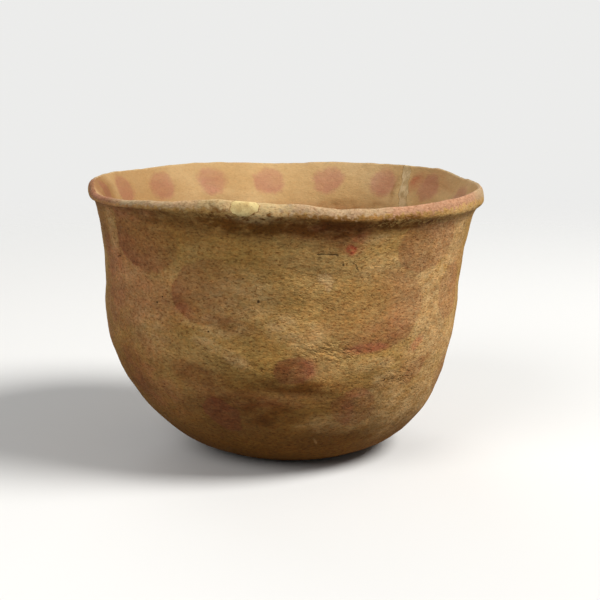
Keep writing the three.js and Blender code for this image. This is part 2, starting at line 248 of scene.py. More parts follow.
# Scratches from one place to another with their half width, and single pits
SCRATCHES = [
    (279.3, 86.3, 282.2, 86.4, 0.13), (282.2, 86.4, 285, 86, 0.17), (284.9, 86, 285.2, 85.8, 0.3),
    (289.4, 83.2, 290.8, 82, 0.1), (290.8, 82, 291.9, 79.7, 0.14), (210.2, 80.2, 212.6, 80.6, 0.2),
    (305, 36.4, 306.4, 34.6, 0.08), (308, 37.6, 309.8, 38.2, 0.1), (74, 72, 79, 70.4, 0.2),
    (128, 58, 131, 54, 0.2), (18, 76, 23, 77.4, 0.2),
]
PITS = [
    (287.1, 82.2, 0.34), (263.6, 69.2, 0.42), (230.4, 66.2, 0.36), (232.6, 68.5, 0.28),
    (313.6, 85.2, 0.26), (311.5, 79.8, 0.22), (285, 84, 0.2), (288.4, 66.2, 0.24),
    (302.8, 44.4, 0.32), (305.2, 37.8, 0.3), (249, 58, 0.26), (272.6, 43.2, 0.26),
    (259, 77, 0.24), (270.6, 56.4, 0.24), (297.2, 70.4, 0.22), (240.6, 72.6, 0.22),
    (58, 70, 0.4), (96, 58, 0.36), (140, 74, 0.4), (24, 48, 0.34),
]
# Edge of a worn, slightly raised facet that runs down to the right across the front
RIDGE = [(237.5, 60), (247.8, 53), (258.5, 46.5), (268.8, 40.5), (281, 37.5), (292.8, 35.2)]
RIDGE_RISE = 0.42
RIDGE_ABOVE = 9.0
RIDGE_BELOW = 4.6
RIDGE_END_OVERRUN = 4.0
RIDGE_END_FADE = 9.0

# Broad hollows and swellings left by the hand: azimuth, height, half sizes, tilt, depth
HOLLOWS = [
    (256, 68, 22, 8, -10, -0.25), (284, 70, 14, 8, 10, -0.2), (268, 34, 24, 6, 0, -0.3),
    (240, 82, 26, 8, 6, -0.2), (305, 80, 20, 7, 0, 0.2), (302, 55, 20, 8, -12, 0.2),
    (222, 60, 12, 10, 0, 0.2), (312, 34, 14, 6, 10, -0.2), (330, 60, 12, 14, 0, 0.2),
    (50, 60, 24, 9, 8, -0.35), (95, 74, 22, 8, -6, 0.3), (130, 44, 24, 8, 6, -0.4),
    (165, 76, 18, 9, 0, 0.3), (15, 40, 20, 8, -8, -0.35),
]
# How far from its middle a spot and a hollow fade, as shares of their half sizes
SPOT_FULL = 0.5
SPOT_FADE = 0.8
HOLLOW_REACH = 1.4

# Wavelengths and heights of the hand-made surface
BROAD_LUMPS = (34.0, 0.25)
DENTS = (13.0, 0.14)
DENT_FLATNESS = 0.6
STROKES_ALONG = 7.0
STROKES_ACROSS = 2.4
STROKE_DEPTH = 0.05
STROKE_SLOPE = 0.12
GRAIN = (2.4, 0.05)
COIL_SWELL = 0.08
LIP_LUMPS = (5.5, 0.26)
WRINKLES_ALONG = 4.2
WRINKLES_ACROSS = 1.5
WRINKLE_DEPTH = 0.27
WRINKLE_FALL_DEGREES = 22.0
# The relief fades out at this height above the rest, so that the foot stays flat
FOOT_FADE = 3.0

# Distances that stand for no dot, mark or ridge near, and the least radius to measure round
NO_DOT = 50.0
NO_MARK = 9.0
NO_RIDGE = 99.0
LEAST_RADIUS = 1.0

# Colours and stains, as sRGB codes
COLOURS = {
    "ochre": "ae8a4c", "light_ochre": "bc9a60", "rosy_ochre": "bb8660", "foot_brown": "8a5e26",
    "inner_slip": "c4a270", "light_inner_slip": "ceb080",
    "pale": "cfae7a", "rose": "b87858", "red": "a84632", "shade": "b8a28c", "brown": "b89a7c",
    "worn_paint": "b0765e", "paint": "d6c4ba", "inner_paint": "ecc9e8",
    # The grime stain is dirt and painted shade under the lip
    "grime_and_shade": "a48c68", "crumbs": "c3a366", "lip": "bca682", "pale_lip": "c8b080",
    "peach": "c2987a", "dull": "c8a696", "lip_grit": "b0946f", "smear": "d4ba86",
    "mark": "3a2814", "speck": "4a321c", "pit": "b09474", "wrinkle": "b29a7a", "blush": "ffeee2",
    "buff": "d6be94", "dark_buff": "b89e72", "yellow": "e4cd90", "dark_yellow": "ccae74",
    "filler_grit": "6d5634",
}


def ease(t):
    u = np.clip(t, 0.0, 1.0)
    return u * u * (3.0 - 2.0 * u)


def outside(height):
    """Radius of the outer face at a height, and its outward normal in the section."""
    h = np.asarray(height, float)
    bulge = BELLY_RADIUS - FOOT_RADIUS
    angle = np.arccos(np.clip(1.0 - h / BELLY_HEIGHT, -1.0, 1.0))
    low_r = FOOT_RADIUS + bulge * np.sin(angle)
    span = NECK_HEIGHT - BELLY_HEIGHT
    climb = (h - BELLY_HEIGHT) / span
    high_r = BELLY_RADIUS + WALL_FLARE * climb ** 2
    low = h < BELLY_HEIGHT
    normal_r = np.where(low, BELLY_HEIGHT * np.sin(angle), 1.0)
    normal_z = np.where(low, -bulge * np.cos(angle), -2.0 * WALL_FLARE * climb / span)
    size = np.hypot(normal_r, normal_z)
    return np.where(low, low_r, high_r), h, normal_r / size, normal_z / size


def inside(height):
    """Point of the inner face across from an outer height, with its normal into the hollow."""
    r, h, normal_r, normal_z = outside(height)
    thick = WALL + (FLOOR - WALL) * (1.0 - ease(h / FLOOR_BLEND))
    return r - thick * normal_r, h - thick * normal_z, -normal_r, -normal_z


def eased_around(points, azimuth):
    """Value at each azimuth of a list of points round the bowl, eased between them."""
    value = np.zeros_like(azimuth)
    for i, (start, first) in enumerate(points):
        end, last = points[(i + 1) % len(points)]
        span = (end - start) % 360.0
        along = (azimuth - start) % 360.0
        value = np.where(along < span, first + (last - first) * ease(along / span), value)
    return value


def axis_offset(height):
    low = -BOW_OFFSET * ease(height / BOW_HEIGHT)
    back = ease((height - BOW_HEIGHT) / (CREST_HEIGHT - BOW_HEIGHT))
    return np.where(height < BOW_HEIGHT, low, -BOW_OFFSET + (BOW_OFFSET - LIP_OFFSET) * back)


def stretching_depth(height):
    """Depth below the crest that stretches with the lip, down to nothing at the neck."""
    depth = CREST_HEIGHT - height
    below = LIP_HEIGHT * (NECK_DROP - depth) / (NECK_DROP - LIP_HEIGHT)
    return np.where(depth < LIP_HEIGHT, depth, np.maximum(below, 0.0))


def place(radius, height, azimuth):
    """Point in space of a section point at an azimuth, on the slightly uneven bowl."""
    angle = np.radians(azimuth)
    climb = np.clip(height - BELLY_HEIGHT, 0.0, None) / (CREST_HEIGHT - BELLY_HEIGHT)
    rise = eased_around(CREST_RISES, azimuth) * climb ** 2
    drop = (eased_around(LIP_STRETCHES, azimuth) - 1.0) * stretching_depth(height)
    x = axis_offset(height) + radius * np.cos(angle)
    y = radius * np.sin(angle)
    return np.stack([x, y, height + rise - drop], -1)


class Noise:
    """Smooth gradient noise in space, the same every run."""

    def __init__(self, seed):
        rng = np.random.RandomState(seed)
        self.order = rng.permutation(256)
        vectors = rng.normal(size=(256, 3))
        self.slopes = vectors / np.linalg.norm(vectors, axis=1)[:, None]

    def __call__(self, points):
        cell = np.floor(points).astype(int)
        local = points - cell
        fade = local ** 3 * (local * (local * 6.0 - 15.0) + 10.0)
        total = np.zeros(points.shape[:-1])
        for corner in np.ndindex(2, 2, 2):
            x, y, z = np.moveaxis((cell + corner) & 255, -1, 0)
            index = self.order[(self.order[(self.order[x] + y) & 255] + z) & 255]
            push = ((local - corner) * self.slopes[index]).sum(-1)
            weight = np.prod(np.where(np.array(corner) == 1, fade, 1.0 - fade), -1)
            total += push * weight
        return total * 1.6


broad_noise = Noise(11)
dent_noise = Noise(12)
stroke_noise = Noise(13)
grain_noise = Noise(14)
lip_noise = Noise(15)
wrinkle_noise = Noise(16)


def turned(x, y, degrees):
    cos, sin = math.cos(math.radians(degrees)), math.sin(math.radians(degrees))
    return x * cos - y * sin, x * sin + y * cos


# In the functions below, at is the azimuths, heights and radii of points on the bowl
def oval(at, spot):
    """Place of each point in an oval spot's own directions, as shares of its half sizes."""
    azimuth, height, radius = at
    spot_azimuth, spot_height, half_w, half_h, tilt = spot[:5]
    turn = (azimuth - spot_azimuth + 180.0) % 360.0 - 180.0
    along, up = turned(np.radians(turn) * radius, height - spot_height, -tilt)
    return along / half_w, up / half_h


def soft_spots(at, spots):
    """Strongest of a list of soft-edged spots at each point."""
    field = np.zeros(at[0].shape)
    for spot in spots:
        reach = np.hypot(*oval(at, spot))
        field = np.maximum(field, spot[5] * (1.0 - ease((reach - SPOT_FULL) / SPOT_FADE)))
    return field


def spots_out_of_sight(seed, strength):
    """Spots like the photographed ones, for the sides and back that it doesn't show."""
    rng = np.random.RandomState(seed)
    spots = []
    for i in range(HIDDEN_COUNT):
        along = (i + rng.uniform(*HIDDEN_STEP_SHARES)) / HIDDEN_COUNT
        half_w, half_h, tilt, height, share = (rng.uniform(*span) for span in HIDDEN_RANGES)
        azimuth = (HIDDEN_START + HIDDEN_SPAN * along) % 360.0
        spots.append((azimuth, height, half_w, half_h, tilt, strength * share))
    return spots


def segment_distance(at, start, end):
    """Distance to a straight stroke on the wall, and on which side of it each point lies."""
    azimuth, height, radius = at
    middle = (start[0] + end[0]) / 2.0
    turn = np.radians((azimuth - middle + 180.0) % 360.0 - 180.0) * radius
    from_a = np.radians(start[0] - middle) * radius
    span_x = np.radians(end[0] - start[0]) * radius
    span_z = end[1] - start[1]
    along = ((turn - from_a) * span_x + (height - start[1]) * span_z) / (span_x ** 2 + span_z ** 2)
    held = np.clip(along, 0.0, 1.0)
    off_x = turn - from_a - held * span_x
    off_z = height - start[1] - held * span_z
    return np.hypot(off_x, off_z), np.sign(span_x * off_z - span_z * off_x)


def mark_distance(at):
    """Distance past the edge of the nearest scratch or pit."""
    best = np.full(at[0].shape, NO_MARK)
    for start_azimuth, start_height, end_azimuth, end_height, half_w in SCRATCHES:
        distance, _ = segment_distance(at, (start_azimuth, start_height), (end_azimuth, end_height))
        best = np.minimum(best, distance - half_w)
    for pit_azimuth, pit_height, half in PITS:
        reach = np.hypot(*oval(at, (pit_azimuth, pit_height, half, half, 0)))
        best = np.minimum(best, (reach - 1.0) * half)
    return best


def nearest_dot(at, dots):
    """Distance past the nearest dot's edge, and how strong that dot's paint is there."""
    best = np.full(at[0].shape, NO_DOT)
    tone = np.zeros(at[0].shape)
    for dot in dots:
        strength, kept_side, loss = dot[5:]
        along, up = oval(at, dot)
        distance = (np.hypot(along, up) - 1.0) * min(dot[2], dot[3])
        kept = math.radians(kept_side)
        lean = np.clip(0.5 + 0.5 * (along * math.cos(kept) + up * math.sin(kept)), 0.0, 1.0)
        closer = distance < best
        best = np.where(closer, distance, best)
        tone = np.where(closer, strength * (1.0 - loss + loss * lean), tone)
    return best, tone


def inner_dots():
    turns = INNER_DOT_FIRST + INNER_DOT_STEP * np.arange(INNER_DOT_COUNT)
    return [(azimuth % 360.0, *INNER_DOT_SHAPE) for azimuth in turns]


def ridge_relief(at):
    """Height of the worn facet above its edge, and the short drop below it."""
    azimuth = at[0]
    nearest = np.full(azimuth.shape, NO_RIDGE)
    signed = np.full(azimuth.shape, NO_RIDGE)
    for start, end in zip(RIDGE, RIDGE[1:]):
        distance, side = segment_distance(at, start, end)
        closer = distance < nearest
        nearest = np.where(closer, distance, nearest)
        signed = np.where(closer, distance * side, signed)
    above = 1.0 - ease(signed / RIDGE_ABOVE)
    below = ease(1.0 + signed / RIDGE_BELOW)
    started = ease((azimuth - RIDGE[0][0] + RIDGE_END_OVERRUN) / RIDGE_END_FADE)
    unended = ease((RIDGE[-1][0] + RIDGE_END_OVERRUN - azimuth) / RIDGE_END_FADE)
    return RIDGE_RISE * np.where(signed > 0.0, above, below) * (started * unended)


def outer_relief(at):
    """Named hollows, swellings, coils and the worn facet of the outer face."""
    relief = ridge_relief(at)
    for hollow in HOLLOWS:
        reach = np.hypot(*oval(at, hollow))
        relief = relief + hollow[5] * (1.0 - ease(reach / HOLLOW_REACH))
    swell = np.cos(2.0 * math.pi * (at[1] - BASE_HEIGHT) / COIL_HEIGHT + math.pi)
    return relief + COIL_SWELL * swell


def leaned(points, slope):
    """Points moved up the more, the further right they are."""
    rise = points[..., 0] * slope
    return points + np.stack([0 * rise, 0 * rise, rise], -1)


def hand_relief(points, lip):
    """How far the hand-made surface stands out from the true form."""
    relief = BROAD_LUMPS[1] * broad_noise(points / BROAD_LUMPS[0])
    relief += DENTS[1] * dent_noise(points / (DENTS[0], DENTS[0], DENTS[0] * DENT_FLATNESS))
    stretch = np.array([STROKES_ALONG, STROKES_ALONG, STROKES_ACROSS])
    relief += STROKE_DEPTH * stroke_noise(leaned(points, STROKE_SLOPE) / stretch) * (1.0 - lip)
    relief += GRAIN[1] * grain_noise(points / GRAIN[0])
    return relief + LIP_LUMPS[1] * lip_noise(points / LIP_LUMPS[0]) * lip


def wrinkle_relief(points, at):
    """Folds of the slip in its wrinkled patches, falling to the right."""
    slope = math.tan(math.radians(WRINKLE_FALL_DEGREES))
    stretch = np.array([WRINKLES_ALONG, WRINKLES_ALONG, WRINKLES_ACROSS])
    folds = wrinkle_noise(leaned(points, slope) / stretch)
    return WRINKLE_DEPTH * folds * soft_spots(at, OUTER_ZONES["wrinkled_zone"])


def rows_between(low, high):
    count = max(2, int(round(abs(high - low) / ROW)))
    return np.linspace(low, high, count + 1)


def outer_rows(low, high):
    return np.stack(outside(rows_between(low, high)), -1)


def inner_rows(high, low):
    return np.stack(inside(rows_between(high, low)), -1)


def seam_middle(height):
    outer = np.array(outside(height)[:2])
    inner = np.array(inside(height - SEAM_DROP)[:2])
    across = inner - outer
    crown = np.array([across[1], -across[0]]) / np.linalg.norm(across) * SEAM_CROWN
    middle = (outer + inner) / 2.0 + crown
    return np.array([[middle[0], middle[1], 0.0, 0.0]])


def arc_rows(height, half_w, half_h, degrees):
    """Section rows on part of an ellipse under or over the crest, at angles from outward."""
    angle = np.radians(degrees)
    r = CREST_RADIUS + half_w * np.cos(angle)
    h = height + half_h * np.sin(angle)
    normal_r = np.cos(angle) / half_w
    normal_z = np.sin(angle) / half_h
    size = np.hypot(normal_r, normal_z)
    return np.stack([r, h, normal_r / size, normal_z / size], -1)


def lip_outline():
    """Section rows of the lip's rounded underside, of its outer face, and over its crest."""
    widest = CREST_HEIGHT - LIP_FACE_HEIGHT
    rounded = CREST_HEIGHT - CREST_ROUND
    under = np.linspace(LIP_START, 0.0, ROWS_UNDER_LIP)
    face = np.linspace(0.0, 90.0, ROWS_ON_LIP)[1:]
    over = np.linspace(90.0, LIP_END, ROWS_OVER_LIP)[1:]
    return (
        arc_rows(widest, LIP_SETBACK, LIP_UNDER_ROUND, under),
        arc_rows(widest, LIP_SETBACK, LIP_FACE_HEIGHT, face),
        arc_rows(rounded, CREST_ROUND, CREST_ROUND, over),
    )


def bridge_rows(start, end, count):
    """Section rows on a smooth curve between two rows, square to the normals of both."""
    reach = np.linalg.norm(end[:2] - start[:2]) * BRIDGE_REACH
    first, last = start[:2], end[:2]
    leave = first + np.array([-start[3], start[2]]) * reach
    meet = last - np.array([-end[3], end[2]]) * reach
    t = np.linspace(0.0, 1.0, count + 2)[1:-1][:, None]
    u = 1.0 - t
    points = u ** 3 * first + 3 * u * u * t * leave + 3 * u * t * t * meet + t ** 3 * last
    slope = 3 * u * u * (leave - first) + 6 * u * t * (meet - leave) + 3 * t * t * (last - meet)
    slope /= np.linalg.norm(slope, axis=1)[:, None]
    return np.hstack([points, slope[:, 1:2], -slope[:, 0:1]])


# What each row of a section belongs to
OUTER, INNER, SEAM = 1, -1, 0


class Section:
    """Rows of (radius, height, normal) up the outside of a piece and down its inside.

    Each row is on the outer face, the inner face or a seam, and belongs to the lip by a
    share from 0 to 1. A ghost row lies just past a seam, in the next piece: it isn't
    built, and only lets the shading run on smoothly from one piece to the next.
    """

    def __init__(self):
        self.rows, self.sides, self.lips, self.ghosts = [], [], [], []

    def add(self, rows, side, lip=0.0, ghost=False):
        for row, share in zip(rows, np.broadcast_to(lip, len(rows))):
            self.rows.append(row)
            self.sides.append(side)
            self.lips.append(float(share))
            self.ghosts.append(ghost)


def base_section():
    plan = Section()
    top = math.acos(1.0 - BASE_HEIGHT / BELLY_HEIGHT)
    inner_top = math.acos(1.0 - (BASE_HEIGHT - SEAM_DROP) / BELLY_HEIGHT)
    rising = BELLY_HEIGHT * (1.0 - np.cos(np.linspace(0.0, top, BASE_ROWS_OUTSIDE)))
    falling = BELLY_HEIGHT * (1.0 - np.cos(np.linspace(inner_top, 0.0, BASE_ROWS_INSIDE)))
    plan.add(np.stack(outside(rising), -1), OUTER)
    plan.add([outside(BASE_HEIGHT + ROW)], OUTER, ghost=True)
    plan.add(seam_middle(BASE_HEIGHT), SEAM)
    plan.add([inside(BASE_HEIGHT - SEAM_DROP + ROW)], INNER, ghost=True)
    plan.add(np.stack(inside(falling), -1), INNER)
    for radius in np.linspace(FOOT_RADIUS, 0.0, BASE_ROWS_ON_FLOOR + 1)[1:-1]:
        plan.add([(radius, FLOOR, 0.0, 1.0)], INNER)
    return plan


def coil_section(low, high):
    plan = Section()
    plan.add([outside(low - ROW)], OUTER, ghost=True)
    plan.add(outer_rows(low, high), OUTER)
    plan.add([outside(high + ROW)], OUTER, ghost=True)
    plan.add(seam_middle(high), SEAM)
    plan.add([inside(high - SEAM_DROP + ROW)], INNER, ghost=True)
    plan.add(inner_rows(high - SEAM_DROP, low - SEAM_DROP), INNER)
    plan.add([inside(low - SEAM_DROP - ROW)], INNER, ghost=True)
    plan.add(seam_middle(low), SEAM)
    return plan


def rim_section():
    under, face, over = lip_outline()
    wall = np.array(inside(RIM_SEAM - SEAM_DROP))
    neck = outer_rows(RIM_SEAM, NECK_HEIGHT)
    turn = bridge_rows(over[-1], wall, ROWS_IN_TURN)
    turn_shares = OVER_LIP_SHARES[1] * (1.0 - ease(np.arange(len(turn)) / TURN_FADE_ROWS))
    plan = Section()
    plan.add([outside(RIM_SEAM - ROW)], OUTER, ghost=True)
    plan.add(neck, OUTER)
    plan.add(bridge_rows(neck[-1], under[0], ROWS_TO_LIP), OUTER)
    plan.add(under, OUTER, np.linspace(*UNDER_LIP_SHARES, len(under)))
    plan.add(face, OUTER, np.minimum(np.linspace(*LIP_FACE_SHARES, len(face)), 1.0))
    plan.add(over, INNER, np.linspace(*OVER_LIP_SHARES, len(over)))
    plan.add(turn, INNER, turn_shares)
    plan.add([wall], INNER)
    plan.add([inside(RIM_SEAM - SEAM_DROP - ROW)], INNER, ghost=True)
    plan.add(seam_middle(RIM_SEAM), SEAM)
    return plan


def surface_normals(grid):
    """Normals of a swept grid from its neighbouring points."""
    around = np.roll(grid, -1, axis=1) - np.roll(grid, 1, axis=1)
    along = np.empty_like(grid)
    along[1:-1] = grid[2:] - grid[:-2]
    along[0] = grid[1] - grid[0]
    along[-1] = grid[-1] - grid[-2]
    normal = np.cross(around, along)
    return normal / np.maximum(np.linalg.norm(normal, axis=-1), 1e-9)[..., None]


class Surface:
    """A section swept round the bowl, with the relief that the hand and wear left on it."""

    def __init__(self, plan):
        section = np.asarray(plan.rows, float)
        sides = np.asarray(plan.sides)
        shape = (len(section), AROUND)

        def around(values):
            return np.broadcast_to(values[:, None], shape)

        radii, heights, normal_r, normal_z = (around(column) for column in section.T)
        azimuths = np.broadcast_to(np.arange(AROUND) * 360.0 / AROUND, shape)
        self.at = (azimuths, heights, np.maximum(radii, LEAST_RADIUS))
        self.lips = around(np.asarray(plan.lips, float))
        self.outer = around(sides == OUTER)
        self.inner = around(sides == INNER)

        true_form = place(radii, heights, azimuths)
        angle = np.radians(azimuths)
        facing = np.stack([normal_r * np.cos(angle), normal_r * np.sin(angle), normal_z], -1)
        outer_detail = outer_relief(self.at) + wrinkle_relief(true_form, self.at)
        relief = hand_relief(true_form, self.lips) + outer_detail * self.outer * (1.0 - self.lips)
        above_foot = ease(true_form[..., 2] / FOOT_FADE)
        self.points = true_form + facing * (relief * above_foot)[..., None]
        self.normals = surface_normals(self.points)

    def fields(self):
        """Values at each point that the clay's material reads."""
        outer_edge, outer_tone = nearest_dot(self.at, OUTER_DOTS)
        inner_edge, inner_tone = nearest_dot(self.at, inner_dots())
        fields = {
            "dot_edge": np.where(self.outer, outer_edge, inner_edge),
            "dot_tone": np.where(self.outer, outer_tone, inner_tone),
            "inner_face": self.inner,
            "lip_face": self.lips,
            "wall_height": self.at[1] / CREST_HEIGHT,
            "mark_edge": np.where(self.outer, mark_distance(self.at), NO_MARK),
        }
        for label, spots in OUTER_ZONES.items():
            hidden = spots_out_of_sight(*HIDDEN_ZONES[label]) if label in HIDDEN_ZONES else []
            fields[label] = soft_spots(self.at, spots + hidden) * self.outer
        for label, spots in INNER_ZONES.items():
            fields[label] = fields[label] + soft_spots(self.at, spots) * ~self.outer
        for label, spots in SHARED_ZONES.items():
            fields[label] = soft_spots(self.at, spots)
        return fields


def band_faces(sides, closed):
    """Faces round the bowl between one row and the next, and which of them are smooth."""
    rows = len(sides)
    bands = rows if closed else rows - 1
    following_row = (np.arange(bands) + 1) % rows
    low = np.arange(bands)[:, None] * AROUND
    high = following_row[:, None] * AROUND
    here = np.arange(AROUND)[None, :]
    after = (here + 1) % AROUND
    quads = np.stack([low + here, low + after, high + after, high + here], -1).reshape(-1, 4)
    smooth = np.repeat((sides[:bands] != SEAM) & (sides[following_row] != SEAM), AROUND)
    return quads.tolist(), smooth


def add_object(name, data):
    made = bpy.data.objects.new(name, data)
    bpy.context.collection.objects.link(made)
    return made


def ring_mesh(name, plan, closed):
    """Body swept round the bowl from a section, which loops back on itself if closed."""
    surface = Surface(plan)
    real = ~np.asarray(plan.ghosts)
    sides = np.asarray(plan.sides)[real]
    verts = surface.points[real].reshape(-1, 3)
    normals = surface.normals[real].reshape(-1, 3)
    faces, smooth = band_faces(sides, closed)
    swept = len(verts)
    if not closed:
        for row, facing in ((0, -1.0), (len(sides) - 1, 1.0)):
            ring = row * AROUND + np.arange(AROUND)
            following = np.roll(ring, -1)
            verts = np.vstack([verts, verts[ring].mean(0)])
            normals = np.vstack([normals, (0.0, 0.0, facing)])
            tris = np.stack([following, ring] if facing < 0.0 else [ring, following], -1)
            faces += np.hstack([tris, np.full((AROUND, 1), len(verts) - 1)]).tolist()
            smooth = np.concatenate([smooth, np.full(AROUND, facing > 0.0)])
    mesh = bpy.data.meshes.new(name)
    mesh.from_pydata((verts * MM).tolist(), [], faces)
    mesh.polygons.foreach_set("use_smooth", smooth)
    for label, values in surface.fields().items():
        flat = np.full(len(verts), values.reshape(-1)[-1], np.float32)
        flat[:swept] = values[real].reshape(-1)
        mesh.attributes.new(label, "FLOAT", "POINT").data.foreach_set("value", flat)
    attribute = mesh.attributes.new("true_normal", "FLOAT_VECTOR", "POINT")
    attribute.data.foreach_set("vector", normals.astype(np.float32).ravel())
    mesh.update()
    return add_object(name, mesh)


def shade_as_surface(piece):
    """Gives each face corner the surface's own normal, apart from seams and cut faces."""
    mesh = piece.data
    points = np.empty(len(mesh.vertices) * 3, np.float32)
    mesh.attributes["true_normal"].data.foreach_get("vector", points)
    facings = np.empty(len(mesh.polygons) * 3, np.float32)
    mesh.polygons.foreach_get("normal", facings)
    totals = np.empty(len(mesh.polygons), np.int32)
    mesh.polygons.foreach_get("loop_total", totals)
    corners = np.empty(len(mesh.loops), np.int32)
    mesh.loops.foreach_get("vertex_index", corners)
    facing = np.repeat(facings.reshape(-1, 3), totals, axis=0)
    surface = points.reshape(-1, 3)[corners]
    surface /= np.maximum(np.linalg.norm(surface, axis=1), 1e-6)[:, None]
    agree = (surface * facing).sum(1) > SAME_FACING
    mesh.normals_split_custom_set(np.where(agree[:, None], surface, facing).tolist())


def colour(name):
    """Linear colour of a named sRGB code."""
    parts = [int(COLOURS[name][i:i + 2], 16) / 255.0 for i in (0, 2, 4)]
    linear = [p / 12.92 if p <= 0.04045 else ((p + 0.055) / 1.055) ** 2.4 for p in parts]
    return (*linear, 1.0)


# Shift of a noise's place for each step of its seed
SEED_SHIFT = (0.037, 0.061, 0.023)


class Sheet:
    """Short hand for building a material's nodes, where a colour can be given by its name."""

    def __init__(self, name):
        self.material = bpy.data.materials.new(name)
        self.material.use_nodes = True
        self.nodes = self.material.node_tree.nodes
        self.links = self.material.node_tree.links
        self.shader = self.nodes["Principled BSDF"]
        self.where = self.nodes.new("ShaderNodeTexCoord").outputs["Object"]

    def feed(self, socket, value):
        if isinstance(value, bpy.types.NodeSocket):
            self.links.new(value, socket)
        else:
            socket.default_value = colour(value) if isinstance(value, str) else value

    def fill(self, node, inputs):
        """Feeds a node's inputs by name or number, and leaves those that have no value."""
        for key, value in inputs.items():
            if value is not None:
                self.feed(node.inputs[key], value)

    def finish(self, surface, roughness, specular, normal=None):
        finish = {"Roughness": roughness, "Specular IOR Level": specular, "Normal": normal}
        self.fill(self.shader, {"Base Color": surface, **finish})
        return self.material

    def attribute(self, name):
        node = self.nodes.new("ShaderNodeAttribute")
        node.attribute_name = name
        return node.outputs["Fac"]

    def scaled_place(self, size_mm, stretch, seed, fall=0.0):
        """Place in units of a size, stretched, and sloping down to the right by an angle."""
        node = self.nodes.new("ShaderNodeMapping")
        node.vector_type = "TEXTURE"
        scale = [size_mm * MM * s for s in stretch]
        shift = [seed * step for step in SEED_SHIFT]
        slope = (0.0, math.radians(fall), 0.0)
        self.fill(node, {"Vector": self.where, "Scale": scale, "Location": shift, "Rotation": slope})
        return node.outputs["Vector"]

    def noise(self, size_mm, stretch=(1, 1, 1), detail=3.0, rough=0.55, seed=0.0, fall=0.0):
        node = self.nodes.new("ShaderNodeTexNoise")
        spot = self.scaled_place(size_mm, stretch, seed, fall)
        self.fill(node, {"Vector": spot, "Scale": 1.0, "Detail": detail, "Roughness": rough})
        return node.outputs["Fac"]

    def cells(self, size_mm, seed):
        node = self.nodes.new("ShaderNodeTexVoronoi")
        self.fill(node, {"Vector": self.scaled_place(size_mm, (1, 1, 1), seed), "Scale": 1.0})
        return node.outputs["Distance"]

    def math(self, operation, a, b=0.0, clamp=False):
        node = self.nodes.new("ShaderNodeMath")
        node.operation = operation
        node.use_clamp = clamp
        self.fill(node, {0: a, 1: b})
        return node.outputs[0]

    def times(self, a, b):
        return self.math("MULTIPLY", a, b)

    def swing(self, pattern, amount):
        """Pattern centred on nothing, and scaled."""
        return self.times(self.math("SUBTRACT", pattern, 0.5), amount)

    def ramp(self, value, low, high, to_low=0.0, to_high=1.0):
        node = self.nodes.new("ShaderNodeMapRange")
        node.interpolation_type = "SMOOTHSTEP"
        ends = {"From Min": low, "From Max": high, "To Min": to_low, "To Max": to_high}
        self.fill(node, {"Value": value, **ends})
        return node.outputs["Result"]

    def mix(self, share, a, b, blend="MIX"):
        node = self.nodes.new("ShaderNodeMix")
        node.data_type = "RGBA"
        node.blend_type = blend
        self.fill(node, {"Factor": share, 6: a, 7: b})
        return node.outputs[2]

    def stain(self, share, surface, tint):
        """Surface darkened or tinted by a colour, by a share."""
        return self.mix(share, surface, tint, "MULTIPLY")

    def vary(self, surface, pattern, amount):
        """Surface made lighter and darker as a pattern goes over and under a half."""
        node = self.nodes.new("ShaderNodeVectorMath")
        node.operation = "SCALE"
        self.fill(node, {0: surface, "Scale": self.math("ADD", 1.0, self.swing(pattern, amount))})
        return node.outputs[0]

    def bump(self, height, distance_mm, normal=None):
        node = self.nodes.new("ShaderNodeBump")
        self.fill(node, {"Height": height, "Distance": distance_mm * MM, "Normal": normal})
        return node.outputs["Normal"]


def broken(s, zone, size_mm, seed, low=0.30, high=0.66):
    """A soft zone broken up by noise, so that it has no even edge."""
    patchy = s.ramp(s.noise(size_mm, (1.5, 1.5, 0.8), detail=4, seed=seed), low, high, 0.25, 1.25)
    return s.math("MULTIPLY", s.attribute(zone), patchy, clamp=True)


def slip_colour(s, inner):
    """Ochre slip, mottled broadly, stained in zones, and paler and better kept inside."""
    broad = s.ramp(s.noise(24, (1.2, 1.2, 0.8), seed=2), 0.34, 0.68)
    outside_slip = s.mix(broad, "ochre", "light_ochre")
    rosy = s.ramp(s.noise(38, (1, 1, 0.8), seed=9), 0.50, 0.70, 0.0, 0.4)
    outside_slip = s.mix(rosy, outside_slip, "rosy_ochre")
    # Darker and browner towards the foot: partly the clay's colour, partly painted shade of the
    # underside
    foot = s.ramp(s.attribute("wall_height"), 0.06, 0.46, 0.95, 0.0)
    outside_slip = s.mix(foot, outside_slip, "foot_brown")
    slip = s.mix(inner, outside_slip, s.mix(broad, "inner_slip", "light_inner_slip"))
    # Pale spots, among them painted highlights on the worn facet's lit edge and painted light on the
    # right side
    slip = s.mix(s.times(broken(s, "pale_zone", 3.5, 12), 0.85), slip, "pale")
    slip = s.mix(s.times(broken(s, "rosy_zone", 5, 14), 0.7), slip, "rose")
    slip = s.mix(s.times(broken(s, "red_zone", 2.0, 15), 0.8), slip, "red")
    slip = s.stain(s.attribute("shade_zone"), slip, "shade")
    # Brown stains, with painted shade just under the lip and on the inner face
    return s.stain(broken(s, "brown_zone", 5, 16), slip, "brown")


